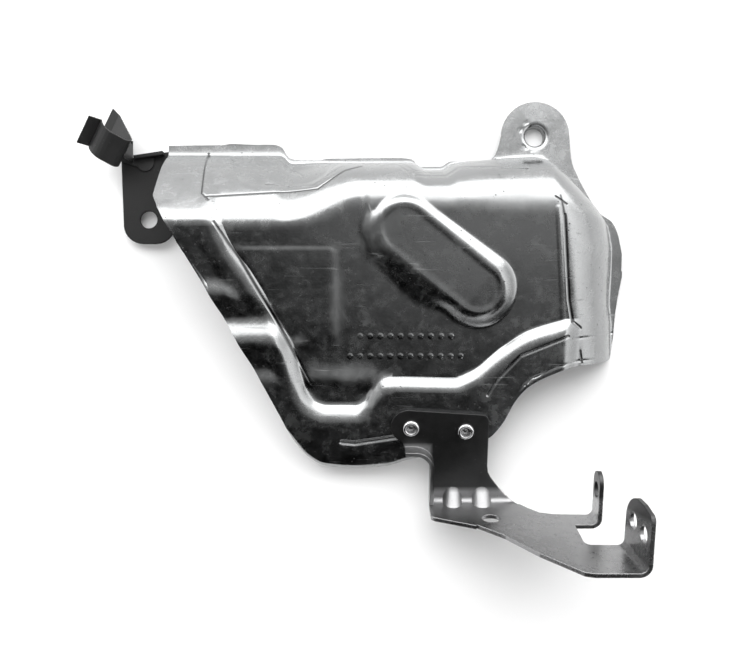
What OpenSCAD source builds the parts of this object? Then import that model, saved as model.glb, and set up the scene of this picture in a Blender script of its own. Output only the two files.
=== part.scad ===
// Starter heat shield: a pressed sheet that covers the starter of an engine,
// with a riveted bracket for cables, a small bracket in its mouth and a spring clip for a pipe.
// It lies on its open side. X runs along the tunnel, Y across it and Z up.

/* [Pressed shield] */
// Thickness of the shield's sheet
shield_t = 0.8; // [0.6:0.1:1.2]
// Height of the face above the ground, on the line through the middle of the shield
face_h = 24.8; // [23:0.2:30]
// Slope of the face, from the tunnel down to the bottom flange, in degrees
face_tilt = 17; // [15:0.5:19]
// Height of the ridge between the face and the bottom flange
ridge_h = 4; // [2:0.5:5]
// Width of the ridge's slope beside the bracket
ridge_w = 5; // [4:0.5:7]
// Width of the ridge's slope at its low left end
ridge_end_w = 7.6; // [6:0.2:9]
// Height of the rim round the tunnel's mouth over the face
rim_h = 2.4; // [1:0.1:3]
// Depth of the turned lip under the bottom flange
lip_drop = 8.8; // [6:0.2:10]
// Width of the lip's bend
lip_w = 2.2; // [1.8:0.1:3]
// Fall of the bottom flange towards its lip
roll_drop = 1.6; // [0:0.2:3]
// Height of the panel that stands in the face
panel_h = 0.7; // [0:0.1:1.5]
// Depth of the sunk field in the tunnel's wall
field_depth = 1.8; // [0.5:0.1:2.5]

/* [Raised oblong] */
// Height of the raised oblong at its upper end
oblong_h = 2.4; // [1:0.1:3.5]
// Height of the raised oblong at its lower end
oblong_low_h = 3.9; // [2:0.1:5]
// Length of the raised oblong between the centres of its ends
oblong_l = 37; // [30:0.5:42]
// Radius of the flat top of the oblong
oblong_r = 8.8; // [6:0.2:10]
// Depth of the flat top below the oblong's edge
oblong_dip = 0.3; // [0:0.1:1.2]

/* [Lug] */
// Radius of the lug's round end
lug_r = 14.2; // [12:0.2:16]
// Diameter of the hole in the lug
lug_hole_d = 8; // [6:0.2:9]
// Length of the collar under the lug
collar_l = 4.5; // [2:0.25:6]
// Thickness of the collar's wall
collar_t = 0.8; // [0.6:0.1:1.4]
// Radius of the rounding at the collar's mouth
mouth_r = 1.5; // [1:0.1:2]

/* [Lower bracket] */
// Thickness of the lower bracket's sheet
bracket_t = 1.6; // [1.2:0.1:2.2]
// Inner radius of the lower bracket's bends
bend_r = 2.5; // [1.5:0.25:4]
// Lean of the arm outwards from the vertical, in degrees
arm_lean = 12; // [6:1:16]
// Length of the arm from its bend to its far edge
arm_l = 59; // [54:0.5:66]
// Width of the outer strip of the arm
strip_w = 22; // [18:0.5:24]
// Diameter of the hole in the arm
arm_hole_d = 7.2; // [5:0.2:9]
// Height of the side flange
side_flange_h = 6; // [4:0.5:9]
// Length of the inner ear
inner_ear_l = 20; // [16:0.5:24]
// Width of the inner ear
inner_ear_w = 9.6; // [9:0.2:12]
// Length of the outer ear
outer_ear_l = 22; // [20:0.2:26]
// Lean of the outer ear, in degrees
outer_ear_lean = 6; // [0:1:12]
// Diameter of the holes in the ears
ear_hole_d = 6.4; // [4:0.2:7]

/* [Rivets] */
// Diameter of a rivet's head
rivet_head_d = 7; // [6:0.2:9]
// Height of a rivet's head
rivet_head_h = 1.6; // [1:0.1:2.4]
// Diameter of a rivet's shank
rivet_shank_d = 4.8; // [4:0.1:5.4]
// Diameter of the recess in a rivet's head
rivet_recess_d = 2.9; // [2:0.1:3.4]
// Distance between the two rivets
rivet_pitch = 22; // [18:0.5:24]

/* [Left bracket] */
// Thickness of the left bracket's sheet
left_t = 1.5; // [1:0.1:2]
// Reach of the left bracket out of the tunnel's mouth
left_reach = 20; // [17:0.5:26]
// Diameter of the hole in the left bracket
left_hole_d = 7.2; // [5:0.2:9]
// Radius of the left bracket's lower corner
left_corner_r = 8; // [5:0.5:10]
// Height of the left bracket's top flange
left_flange_h = 5; // [3:0.5:9]

/* [Spring clip] */
// Thickness of the clip's strip
clip_t = 0.6; // [0.4:0.1:1]
// Width of the clip's strip
clip_w = 13; // [10:0.5:18]
// Space between the clip's two legs
clip_gap = 15; // [12:0.5:17]
// Depth of the clip from its back to its mouth
clip_depth = 13.4; // [12:0.2:16]
// Length of the clip's flared lips
clip_lip = 4.2; // [2:0.2:6]
// Lean of the clip out of the ground plane, in degrees
clip_lean = 28; // [22:1:36]

/* [Hidden] */
$fn = 48;

// Everything is drawn from the middle of the shield, and the lug's hole is the part's origin
lug_at = [67.4, 79.6];
seat_gap = 0.05;
eps = 0.01;

// Level of the lug and of the brim under the wall, at mid-sheet, and of the side wall's foot
brim_z = collar_l + shield_t / 2;
foot_z = shield_t / 2 + 0.1;

face_rise = tan(face_tilt);
flange_z = face_h + ridge_h;

// Lines of the pressing, each a few points through which a smooth line runs
left_x = -85.3;
right_x = 104;
low_edge = [[left_x, 51], [-57.6, 1.8], [-44, -23.1], [-35.8, -39.3], [-30.8, -48.5], [-26.2, -54.2],
    [-20, -57.6], [-8, -58.6], [4.8, -57.7], [15.3, -54.6], [28, -50.5], [46.5, -45], [51.7, -39.3],
    [57, -29.2], [61.5, -24], [67.7, -20.2], [79.3, -15.9], [98.8, -13.5], [100.2, -9], [101.4, 6],
    [right_x, 22]];
top_edge = [[left_x, 75.5], [-42, 76], [-38.4, 75], [-35.2, 70.4], [-32, 69.6], [-22.8, 69.4],
    [-19.5, 70.1], [11.1, 70.4], [15.7, 69.9], [19.5, 66.8], [27.8, 66.8], [32.4, 69], [48.5, 69],
    [50.6, 71.5], [52, 75], [lug_at[0] - lug_r, lug_at[1]]];
side_edge = [[lug_at[0] + lug_r, lug_at[1]], [82.4, 69.5], [84.5, 64], [87.4, 58], [91.1, 51.7],
    [94.9, 46.8], [99.2, 44], [101.9, 39.1], [right_x, 30]];
crest_line = [[left_x, 38], [-30, 38.5], [-17, 40], [-5, 44.5], [25, 44.5], [40, 43], [66, 41.5], [80, 42]];
foot_line = [[left_x, 71], [-39, 71], [-34, 67.5], [-20, 67.8], [15, 68], [21, 65], [28, 65], [33, 67.5],
    [48, 68], [51.5, 72.5], [67, 70.5], [84, 66]];
panel_line = [[-68, 84], [-60.8, 42], [-56.3, 30.2], [-48.1, 17.8], [-40.1, 2.7], [-34, -13],
    [-30.4, -24.5], [-27.5, -30.6], [-24, -33.8], [-19, -35.4], [-7.2, -35.4], [-2.6, -33.2], [0.6, -28.4],
    [4.4, -24.2], [9.4, -23], [32.2, -23.4], [40.1, -20.6], [52.8, -10.5], [62, -4.5], [76, 0]];
field_line = [[-62, 76], [-57, 63], [-52, 56], [-45, 53.5], [-28, 53.5], [-21, 56], [-14, 66], [-10, 80]];

// Height of the rim, up its way from the bottom flange, as a share of its height at the mouth
rim_line = [[-28, 1.67], [-21, 1.67], [-15, 1.21], [-6, 2.04], [3.5, 0.63], [13, 1.38], [19, 0.71], [40, 1]];

// Crest and foot of the side wall, the sharpness of the corner between the two walls,
// the rounds that the walls fall by, left and right, and the softness of their foot
side_crest = [[-20, 78], [0, 77], [45, 71]];
side_foot = [[-20, 99], [0, 99], [10, 98], [30, 98.5], [45, 96]];
corner_p = 1.3;
left_power = 1.5;
right_bow = 0.96;
foot_soft = 1.4;

// The oblong runs down to the right from its upper end
oblong_at = [11.6, 37.6];
oblong_turn = -38;
oblong_way = [cos(oblong_turn), sin(oblong_turn)];
oblong_slope = [4.5, 6.5];

function clamp(v, lo, hi) = min(max(v, lo), hi);
function ease(v) = let (c = clamp(v, 0, 1)) c * c * (3 - 2 * c);
function mix(a, b, f) = a + (b - a) * f;

// Smooth line through points: the slope at each point is the harmonic mean of its neighbours'
function slope_of(p, i) = (p[i + 1][1] - p[i][1]) / (p[i + 1][0] - p[i][0]);
function tangent(p, i) = let (last = len(p) - 1)
    i == 0 ? slope_of(p, 0)
    : i == last ? slope_of(p, last - 1)
    : let (a = slope_of(p, i - 1), b = slope_of(p, i)) a * b <= 0 ? 0 : 2 * a * b / (a + b);
function span_of(p, x, i = 0) = i >= len(p) - 2 || x < p[i + 1][0] ? i : span_of(p, x, i + 1);
function hermite(p, i, x) =
    let (h = p[i + 1][0] - p[i][0], t = clamp((x - p[i][0]) / h, 0, 1))
    (1 + 2 * t) * (1 - t) * (1 - t) * p[i][1] + t * (1 - t) * (1 - t) * h * tangent(p, i)
    + t * t * (3 - 2 * t) * p[i + 1][1] + t * t * (t - 1) * h * tangent(p, i + 1);
function line(p, x) = hermite(p, span_of(p, x), x);

// Height of the sheet's middle over a point of the ground
function face_z(y) = face_h + face_rise * y;
function foot_level(y) = mix(foot_z, brim_z, ease((y + 14) / 70));
function wall_share(x, y) =
    let (crest = line(crest_line, x), foot = line(foot_line, x),
        up = max((y - crest) / (foot - crest), 0),
        out = max((x - line(side_crest, y)) / (line(side_foot, y) - line(side_crest, y)), 0))
    up == 0 ? out : out == 0 ? up : pow(pow(up, corner_p) + pow(out, corner_p), 1 / corner_p);

// Fall of a wall, 0 to 1: an even round on the left and an ever tighter one on the right
function arc_fall(q) = 1 - sqrt(1 - right_bow * right_bow * q * q);
function wall_fall(q, right) =
    mix(pow(q, left_power), arc_fall(min(q, 1)) / arc_fall(1) + max(q - 1, 0) * 3, right);
function to_right(x) = ease((x + 36) / 26);

// The higher of two heights, with the corner between them rounded
function soft_max(a, b, soft) = (a + b + sqrt((a - b) * (a - b) + soft * soft)) / 2;

// How far a point lies below the line between the face and the rim or the bottom flange, 0 to 1
function ridge_wide(x) = mix(ridge_end_w, ridge_w, ease((x + 12) / 14)) - 2.6 * ease((-30 - x) / 10);
function below_panel(x, y) =
    let (lean = (line(panel_line, x + 0.5) - line(panel_line, x - 0.5)))
    ease(0.5 + (line(panel_line, x) - y) / sqrt(1 + lean * lean) / ridge_wide(x));
function step_h(x, y) =
    mix(rim_h * line(rim_line, clamp(y, -28, 40)), ridge_h, ease((x + 34) / 14)) * (1 - ease((x - 74) / 8));

// Raised oblong: along is the way from its upper end, and away the distance from its middle line
function oblong_along(x, y) = clamp(([x, y] - oblong_at) * oblong_way, 0, oblong_l);
function oblong_z(x, y) =
    let (along = oblong_along(x, y), away = norm([x, y] - oblong_at - along * oblong_way),
        slope = mix(oblong_slope[0], oblong_slope[1], along / oblong_l),
        top = mix(oblong_h, oblong_low_h, along / oblong_l))
    top * (1 - ease(pow(clamp((away - oblong_r) / slope, 0, 1), 1.15)))
    - oblong_dip * (1 - ease((away - oblong_r + 1.4) / 1.2));

function panel_z(x, y) =
    panel_h * ease((31.5 - y) / 1.8) * ease((y + 9) / 6) * ease((-12 - x) / 6)
    * ease((y - line(panel_line, x) - 1) / 8);
function field_z(x, y) = -field_depth * ease((y - line(field_line, x)) / 3) * ease((x + 62) / 3);
function lip_z(x, y) =
    let (in = y - line(low_edge, x), bend = clamp(1 - in / lip_w, 0, 1), roll = clamp(1 - in / 14, 0, 1))
    -(lip_drop * (1 - sqrt(1 - 0.98 * bend * bend)) + roll_drop * roll * roll)
    * ease((x + 36) / 10) * ease((24 - x) / 12);

function sheet_z(x, y) =
    let (q = wall_share(x, y), fall = wall_fall(q, to_right(x)),
        on = 1 - clamp(fall, 0, 1), foot = foot_level(y),
        top = face_z(y) + panel_z(x, y) * on + step_h(x, y) * below_panel(x, y) * (0.5 + on / 2),
        raised = oblong_z(x, y),
        wall = q == 0 ? top : soft_max(mix(top, foot, fall), foot, foot_soft))
    wall + raised + field_z(x, y) * (1 - ease((q - 0.85) / 0.15)) + lip_z(x, y);

// Outline of the sheet, from below and from above
function low_y(x) = line(low_edge, x);
function high_y(x) =
    let (dx = x - lug_at[0])
    abs(dx) <= lug_r ? lug_at[1] + sqrt(lug_r * lug_r - dx * dx)
    : dx < 0 ? line(top_edge, x) : line(side_edge, x);

// Columns of the sheet's grid, closer where the outline, the oblong or the wall turns
columns = [for (s = [[left_x, -68, 3], [-68, -22, 14], [-22, -4, 6], [-4, 22, 14], [22, 32, 3], [32, 53, 11],
        [53.2, lug_at[0] - lug_r + 1, 1]], i = [0:s[2] - 1]) mix(s[0], s[1], i / s[2]),
    for (i = [1:9]) lug_at[0] - lug_r * cos(i * 180 / 10),
    for (s = [[lug_at[0] + lug_r, 84.5, 3], [84.5, right_x, 11]], i = [0:s[2] - 1]) mix(s[0], s[1], i / s[2]),
    right_x - 0.3];

// Where a line at x meets the oblong widened to a radius, on its upper side (1) or its lower side (-1)
function oblong_edge(x, r, side) =
    let (t = clamp((x - oblong_at[0] + side * r * oblong_way[1]) / oblong_way[0], 0, oblong_l),
        across = x - oblong_at[0] - t * oblong_way[0])
    oblong_at[1] + t * oblong_way[1] + side * sqrt(max(r * r - across * across, 0));

// Rows of one column: runs between the pressing's own lines, kept a little apart
function stops(x) =
    let (crest = line(crest_line, x) - 2, foot = line(foot_line, x), turn = mix(crest, foot, 0.62),
        panel = min(line(panel_line, clamp(x, -62, 76)), crest - 3), half = ridge_wide(x) / 2,
        wide = oblong_r + mix(oblong_slope[0], oblong_slope[1], clamp((x - oblong_at[0]) / 29, 0, 1)))
    [low_y(x) + lip_w, panel - half, panel + half, oblong_edge(x, wide, -1), oblong_edge(x, oblong_r, -1),
    oblong_edge(x, oblong_r, 1), oblong_edge(x, wide, 1), turn, foot, high_y(x)];
counts = [3, 4, 4, 2, 3, 2, 3, 5, 3];
function spread(v, gap) = [for (i = 0, last = v[0]; i < len(v);
    i = i + 1, last = i < len(v) ? max(v[i], last + gap) : last) last];
function rows(x) =
    let (s = stops(x), top = s[9], part = 0.045 * (top - s[0]),
        k = spread([for (i = [0:9]) i == 9 ? top : min(s[i], top - part * (9 - i))], part))
    [for (share = [1, 0.85, 0.6, 0.3]) k[0] - lip_w * share,
    for (i = [0:8], j = [0:counts[i] - 1]) mix(k[i], k[i + 1], j / counts[i]), top];

// Unit normal of the sheet, and the two skins either side of its middle
function normal(x, y) =
    let (d = 0.25, gx = (sheet_z(x + d, y) - sheet_z(x - d, y)) / (2 * d),
        gy = (sheet_z(x, y + d) - sheet_z(x, y - d)) / (2 * d), n = [-gx, -gy, 1])
    n / norm(n);

module pressed_sheet() {
    grid = [for (x = columns) [for (y = rows(x)) [x, y]]];
    nc = len(grid);
    nr = len(grid[0]);
    mid = [for (c = grid) for (p = c) [p[0], p[1], sheet_z(p[0], p[1])]];
    off = [for (c = grid) for (p = c) normal(p[0], p[1]) * shield_t / 2];
    count = nc * nr;
    points = concat(mid + off, mid - off);
    top = [for (c = [0:nc - 2], r = [0:nr - 2]) let (a = c * nr + r, b = a + nr)
        each norm(mid[a] - mid[b + 1]) < norm(mid[a + 1] - mid[b]) ? [[a, a + 1, b + 1], [a, b + 1, b]]
        : [[a, a + 1, b], [a + 1, b + 1, b]]];
    under = [for (f = top) [f[2] + count, f[1] + count, f[0] + count]];
    border = concat([for (c = [0:nc - 1]) c * nr], [for (r = [1:nr - 1]) (nc - 1) * nr + r],
        [for (c = [nc - 2:-1:0]) c * nr + nr - 1], [for (r = [nr - 2:-1:1]) r]);
    nb = len(border);
    edge = [for (i = [0:nb - 1]) let (a = border[i], b = border[(i + 1) % nb])
        each [[a, b, b + count], [a, b + count, a + count]]];
    polyhedron(points, concat(top, under, edge));
}

// Everything is shifted so that the lower mouth of the lug's hole, on the ground, is the origin
module placed() {
    translate([-lug_at[0], -lug_at[1], 0]) children();
}

// The bottom flange is a tilted plane: y runs up it, and z stands off the sheet's middle
module on_flange(x, y, z) {
    translate([x, y, flange_z + face_rise * y]) rotate([face_tilt, 0, 0]) translate([0, 0, z]) children();
}

// The face is a tilted plane too, beside the ridge
module on_face(x, y, z) {
    translate([x, y, face_z(y)]) rotate([face_tilt, 0, 0]) translate([0, 0, z]) children();
}

// Bead: a low round rib with round ends, from the place it is put at
module bead(l, w, h) {
    r = (w * w / 4 + h * h) / (2 * h);
    intersection() {
        translate([0, 0, h + shield_t / 2 - r]) {
            rotate([0, 90, 0]) cylinder(h = l, r = r);
            for (x = [0, l]) translate([x, 0, 0]) sphere(r);
        }
        translate([-w, -w, 0]) cube([l + 2 * w, 2 * w, 2 * w]);
    }
}

module heat_shield() {
    color("silver") placed() difference() {
        union() {
            pressed_sheet();
            on_flange(-11, -46.5, 0) rotate([0, 0, 8]) bead(20, 4.4, 0.9);
            on_flange(53, -27, 0) rotate([0, 0, 38]) bead(18, 4.4, 0.8);
            on_face(73, 42, 0) rotate([0, 0, -81]) bead(40, 4, 1.1);
            translate([lug_at[0], lug_at[1], 0]) cylinder(h = brim_z, r = lug_hole_d / 2 + collar_t);
        }
        translate([lug_at[0], lug_at[1], -1]) cylinder(h = brim_z + 3, d = lug_hole_d);
        translate([lug_at[0], lug_at[1], brim_z + shield_t / 2 - mouth_r]) rotate_extrude()
            difference() {
                square([lug_hole_d / 2 + mouth_r, mouth_r + 1]);
                translate([lug_hole_d / 2 + mouth_r, 0]) circle(mouth_r);
            }
        rivet_holes();
    }
}

// Rivets, the bracket's holes and the shield's holes share these places on the flange
rivet_at = [15.1, -40.1];
module rivet_place(i) {
    on_flange(rivet_at[0] + i * rivet_pitch, rivet_at[1] - i * 1.3, 0) children();
}
module rivet_holes() {
    for (i = [0, 1]) rivet_place(i) translate([0, 0, -shield_t * 2])
        cylinder(h = shield_t * 4 + bracket_t, d = rivet_shank_d);
}
plate_z = shield_t / 2;
module rivet(i) {
    color("gainsboro") placed() rivet_place(i) {
        translate([0, 0, plate_z + bracket_t]) difference() {
            rotate_extrude() intersection() {
                square([rivet_head_d / 2, rivet_head_h]);
                translate([0, rivet_head_h - rivet_head_d]) circle(rivet_head_d);
            }
            translate([0, 0, rivet_head_h / 3]) cylinder(h = rivet_head_h, d = rivet_recess_d);
        }
        translate([0, 0, -shield_t / 2 - rivet_head_h / 2])
            cylinder(h = shield_t + bracket_t + rivet_head_h / 2 + eps, d = rivet_shank_d);
        translate([0, 0, -shield_t / 2 - rivet_head_h / 2])
            cylinder(h = rivet_head_h / 2, d = rivet_head_d * 0.9);
    }
}
module rivet_left() { rivet(0); }
module rivet_right() { rivet(1); }

// Points of an arc round a centre
function arc(at, r, from, to, n) =
    [for (i = [0:n]) at + r * [cos(mix(from, to, i / n)), sin(mix(from, to, i / n))]];

// Outline of a strip of one thickness along a path
function way(p, i) = let (d = p[min(i + 1, len(p) - 1)] - p[max(i - 1, 0)]) d / norm(d);
function side_of(p, t) = [for (i = [0:len(p) - 1]) p[i] + t * [-way(p, i)[1], way(p, i)[0]]];
function strip(p, t) = let (a = side_of(p, t / 2), b = side_of(p, -t / 2))
    concat(a, [for (i = [len(b) - 1:-1:0]) b[i]]);

// Lower bracket. Its plate lies on the flange, and y runs up the flange from the bend's axis
bend_y = -68.8;
plate_left = 22.8;
plate_right = 46.3;
plate_top = -32.7;
foot_left = 7;
foot_low = -46.2;
curl_r = 6;
arm_turn = 90 + face_tilt - arm_lean;
function up_flange(y) = (y - bend_y) / cos(face_tilt);

module at_bend() {
    on_flange(0, bend_y, plate_z) children();
}

// Plate: a foot to the left that takes the first rivet, and a neck down to the bend
curl_y = up_flange(-49.4) - curl_r;
module plate_outline() {
    top = up_flange(plate_top);
    low = up_flange(foot_low);
    foot_r = (top - low) / 2;
    polygon(concat(
        arc([plate_right - 3, top - 5], 3, 0, 80, 4),
        arc([foot_left + foot_r, top - foot_r], foot_r, 90, 250, 10),
        [[plate_left - curl_r - 4, curl_y + curl_r]],
        arc([plate_left - curl_r, curl_y], curl_r, 90, 0, 6),
        [[plate_left, -eps]],
        [[plate_right + 7.8, -eps], [plate_right + 5, 3.2], [plate_right + 1.8, 7.6]],
        [[plate_right + 0.4, 10.4], [plate_right, 13.5]]));
}

// Side flange: a strip that stands on the plate's left edge, from the foot to the bend
module side_flange() {
    path = concat([[plate_left - curl_r - 4, curl_y + curl_r + bracket_t / 2]],
        arc([plate_left - curl_r, curl_y], curl_r + bracket_t / 2, 90, 0, 7),
        [[plate_left + bracket_t / 2, -bend_r / 2]]);
    linear_extrude(side_flange_h + bracket_t) polygon(strip(path, bracket_t));
}

// Bend between two flat stretches: a sector round an axis along X, cut slanting at its right end
module bend(x0, x1, x2) {
    chord = 2 * (bend_r + bracket_t / 2) * sin(arm_turn / 2);
    difference() {
        rotate([90, 0, 90]) rotate([0, 0, -90 - arm_turn]) rotate_extrude(angle = arm_turn)
            translate([bend_r, x0]) square([bracket_t, x2 - x0]);
        rotate([180 - arm_turn / 2, 0, 0]) translate([(x1 + x2) / 2, 0, 0])
            rotate([0, 0, -atan((x2 - x1) / chord)]) translate([0, -20, -20]) cube(40);
    }
}

// Gusset: a round rib across the inside of the bend, cut off in the middle of the sheet
gusset_r = 3.85;
gusset_drop = 1.3;
gusset_x = [32.4, 44.4];
module gusset(x) {
    far = 12;
    corner = arc([0, bracket_t + bend_r], bend_r + bracket_t / 2, -90, -90 - arm_turn, 12);
    intersection() {
        translate([x, 0, bracket_t - gusset_drop]) rotate([90 - arm_turn / 2, 0, 0])
            cylinder(h = 3 * far, r = gusset_r, center = true);
        translate([x - gusset_r, 0, 0]) rotate([90, 0, 90]) linear_extrude(2 * gusset_r)
            polygon(concat([[far, far], [far, bracket_t / 2]], corner,
                [corner[12] + far * [-cos(arm_turn), sin(arm_turn)]]));
    }
}

// Arm, drawn flat: y runs along it from the bend, and z through its sheet from the inner face
inner_x = 84.4;
outer_x = 89.8;
arm_foot_right = plate_right + 13.6;
ear_low = 10.2;
notch_low = arm_l - strip_w;
notch_x = 78;
module on_arm() {
    at_bend() translate([0, 0, bracket_t + bend_r]) rotate([180 - arm_turn, 0, 0])
        translate([0, 0, bend_r]) children();
}
module arm_outline() {
    polygon(concat(
        [[plate_left, -eps], [plate_left, 8.5]],
        arc([plate_left + 3, 10.5], 3, 180, 115, 3),
        [[plate_left + 17, 20.4], [plate_left + 17.3, 19.6], [plate_left + 27, 29], [60, arm_l - 15.5]],
        arc([78, arm_l - 12], 12, 115, 90, 4),
        [[outer_x + tan(outer_ear_lean) * strip_w + eps, arm_l], [outer_x + eps, notch_low]],
        arc([notch_x + 3, notch_low - 3], 3, 90, 180, 4),
        [[notch_x, ear_low + inner_ear_w], [inner_x + eps, ear_low + inner_ear_w], [inner_x + eps, ear_low]],
        [[72, ear_low - 0.4], [66.4, ear_low - 2.1], [62.6, 3.8], [arm_foot_right, -eps]]));
}

// Ear: folded off the arm about a line along Y, w wide, with a given outline beyond the fold
module ear(w) {
    translate([0, w, -bend_r]) rotate([90, 0, 0]) rotate_extrude(angle = 90)
        translate([bend_r, 0]) square([bracket_t, w]);
    translate([bend_r, 0, -bend_r]) rotate([0, 90, 0]) linear_extrude(bracket_t) children();
}
module inner_ear_outline() {
    r = inner_ear_w / 2;
    square([inner_ear_l - bend_r - r, inner_ear_w]);
    translate([inner_ear_l - bend_r - r, r]) circle(r);
}
module outer_ear_outline() {
    l = outer_ear_l - bend_r;
    polygon(concat([[-eps, 0], [l - 16, 0]],
        arc([l - 11, 11], 11, -78, -12, 8),
        [[l - 0.2, strip_w / 2 + 3.6], [l - 1.2, strip_w - 2.6]],
        arc([l - 3.6, strip_w - 2.4], 2.4, 20, 90, 4),
        [[-eps, strip_w]]));
}
module ear_hole(at) {
    translate([0, at[1], -at[0]]) rotate([0, 90, 0]) cylinder(h = 40, d = ear_hole_d, center = true);
}
module inner_ear_place() {
    on_arm() translate([inner_x, ear_low, 0]) children();
}
module outer_ear_place() {
    on_arm() translate([outer_x, notch_low, 0]) rotate([0, 0, -outer_ear_lean]) children();
}

module lower_bracket() {
    color("dimgray") placed() difference() {
        union() {
            at_bend() {
                linear_extrude(bracket_t) plate_outline();
                side_flange();
                translate([0, 0, bracket_t + bend_r]) bend(plate_left, plate_right + 7.8, arm_foot_right);
                for (x = gusset_x) gusset(x);
            }
            on_arm() linear_extrude(bracket_t) arm_outline();
            inner_ear_place() ear(inner_ear_w) inner_ear_outline();
            outer_ear_place() ear(strip_w) outer_ear_outline();
        }
        rivet_holes();
        on_arm() translate([46.3, 13.9, 0]) cylinder(h = 20, d = arm_hole_d, center = true);
        inner_ear_place() ear_hole([inner_ear_l - 7.4, inner_ear_w / 2]);
        outer_ear_place() {
            ear_hole([outer_ear_l - 9.4, 6.8]);
            ear_hole([outer_ear_l - 10.2, 16]);
        }
    }
}

// Left bracket: a plate under the brim, reaching out of the tunnel's mouth
left_z = brim_z - shield_t / 2 - seat_gap;
left_hole = [-93.9, 44.8];
left_low = 34.7;
left_far = left_x - left_reach;
module left_outline() {
    polygon(concat(
        [[left_far, 69.8]],
        arc([left_far + left_corner_r + 1, left_low + left_corner_r], left_corner_r, 185, 270, 8),
        arc([-91, left_low + 8], 8, 270, 325, 4),
        [[-74, 60], [-66, 67.5], [-46, 68.5]],
        arc([-46, 72.3], 3.8, -90, 90, 6),
        [[-60, 76.4], [left_x - 2, 72.9]]));
}
module left_bracket() {
    color("#222222") placed() difference() {
        union() {
            translate([0, 0, left_z - left_t]) linear_extrude(left_t) left_outline();
            translate([0, 0, left_z - left_t]) linear_extrude(left_flange_h) polygon(strip(
                [[left_far + 6, 69.6 + left_t / 2], [left_x - 2, 72.9 - left_t / 2]], left_t));
        }
        translate([left_hole[0], left_hole[1], -1]) cylinder(h = 20, d = left_hole_d);
    }
}

// Spring clip: an open loop of strip on a neck that lies on the left bracket's corner.
// Its section is drawn across the loop's axis: x runs towards the loop's back, y off the ground.
clip_turn = -37;
clip_at = [-97.6, 73.8, 22.2];
module clip_section() {
    d = clip_depth;
    path = concat(
        [[-d - clip_lip, 2.6], [-d - 0.4, -1.2]],
        arc([-d + 5.6, -4.6], 7, 145, 62, 7),
        arc([-2.6, -1.8], 2.6, 60, -55, 6),
        [[-d, clip_lip / 3 - clip_gap], [-d - clip_lip, -clip_gap]]);
    polygon(strip(path, clip_t));
}
module neck_outline() {
    polygon(concat([[-107, 69.5], [-106, 74.5], [-103, 77.5], [-100.4, 77.5], [-100.4, 70.6], [-91.6, 70.6]],
        arc([-95.2, 68.6], 3.6, 0, -150, 9)));
}
module spring_clip() {
    color("#333333") placed() {
        translate(clip_at) rotate([90 + clip_lean, 0, clip_turn]) linear_extrude(clip_w) clip_section();
        translate([0, 0, left_z + seat_gap]) linear_extrude(clip_t) neck_outline();
        translate([-100.4, 0, left_z + seat_gap]) rotate([90, 0, -90]) linear_extrude(clip_t)
            polygon([[-68.4, 0], [-76, 0], [-76, 4.5], [-72.5, 14], [-69.5, 14], [-68.4, 9.5]]);
    }
}

heat_shield();
lower_bracket();
rivet_left();
rivet_right();
left_bracket();
spring_clip();
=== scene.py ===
import math
import bmesh
import bpy
import numpy as np
from mathutils import Matrix, Vector


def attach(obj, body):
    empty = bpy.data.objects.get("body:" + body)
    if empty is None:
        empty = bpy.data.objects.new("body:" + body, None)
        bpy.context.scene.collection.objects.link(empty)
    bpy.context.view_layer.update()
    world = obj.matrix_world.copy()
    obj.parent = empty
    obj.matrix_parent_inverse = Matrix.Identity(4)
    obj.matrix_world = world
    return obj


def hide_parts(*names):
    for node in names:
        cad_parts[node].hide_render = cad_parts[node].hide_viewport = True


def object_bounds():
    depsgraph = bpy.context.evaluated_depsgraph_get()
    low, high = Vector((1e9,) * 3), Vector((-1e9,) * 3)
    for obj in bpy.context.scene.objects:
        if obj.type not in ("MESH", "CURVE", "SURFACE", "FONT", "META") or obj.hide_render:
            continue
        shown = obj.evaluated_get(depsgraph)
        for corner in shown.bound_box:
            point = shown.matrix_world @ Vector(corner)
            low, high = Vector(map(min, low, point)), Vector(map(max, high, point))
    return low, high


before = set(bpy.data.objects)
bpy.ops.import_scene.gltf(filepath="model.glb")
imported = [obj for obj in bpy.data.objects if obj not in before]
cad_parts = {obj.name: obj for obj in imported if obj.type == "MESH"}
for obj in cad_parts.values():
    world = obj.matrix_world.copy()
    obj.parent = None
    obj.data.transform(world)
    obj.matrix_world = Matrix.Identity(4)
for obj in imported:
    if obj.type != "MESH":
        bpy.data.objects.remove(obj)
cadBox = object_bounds()
bpy.ops.object.select_all(action="DESELECT")
print("frame loaded:", sorted(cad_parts))

mm = 0.001
lugAt = np.array([67.4, 79.6])  # the lug's hole, seen from the middle of the photograph; the part's origin


# Shader maths: a wire is an output socket that can be added, multiplied and compared.
class Wire:
    def __init__(self, tree, socket):
        self.tree, self.socket = tree, socket

    def maths(self, operation, *others, clamp=False):
        return mathsNode(self.tree, operation, (self,) + others, clamp)

    def __add__(self, other):
        return self.maths("ADD", other)

    def __sub__(self, other):
        return self.maths("SUBTRACT", other)

    def __mul__(self, other):
        return self.maths("MULTIPLY", other)

    def __truediv__(self, other):
        return self.maths("DIVIDE", other)

    def __pow__(self, other):
        return self.maths("POWER", other)

    def __radd__(self, other):
        return self + other

    def __rmul__(self, other):
        return self * other

    def __rsub__(self, other):
        return mathsNode(self.tree, "SUBTRACT", (other, self))

    def held(self):  # between 0 and 1
        return self.maths("ADD", 0.0, clamp=True)

    def above(self, level, soft):
        return ((self - (level - soft)) / (2 * soft)).held()

    def least(self, other):
        return self.maths("MINIMUM", other)

    def most(self, other):
        return self.maths("MAXIMUM", other)


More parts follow.
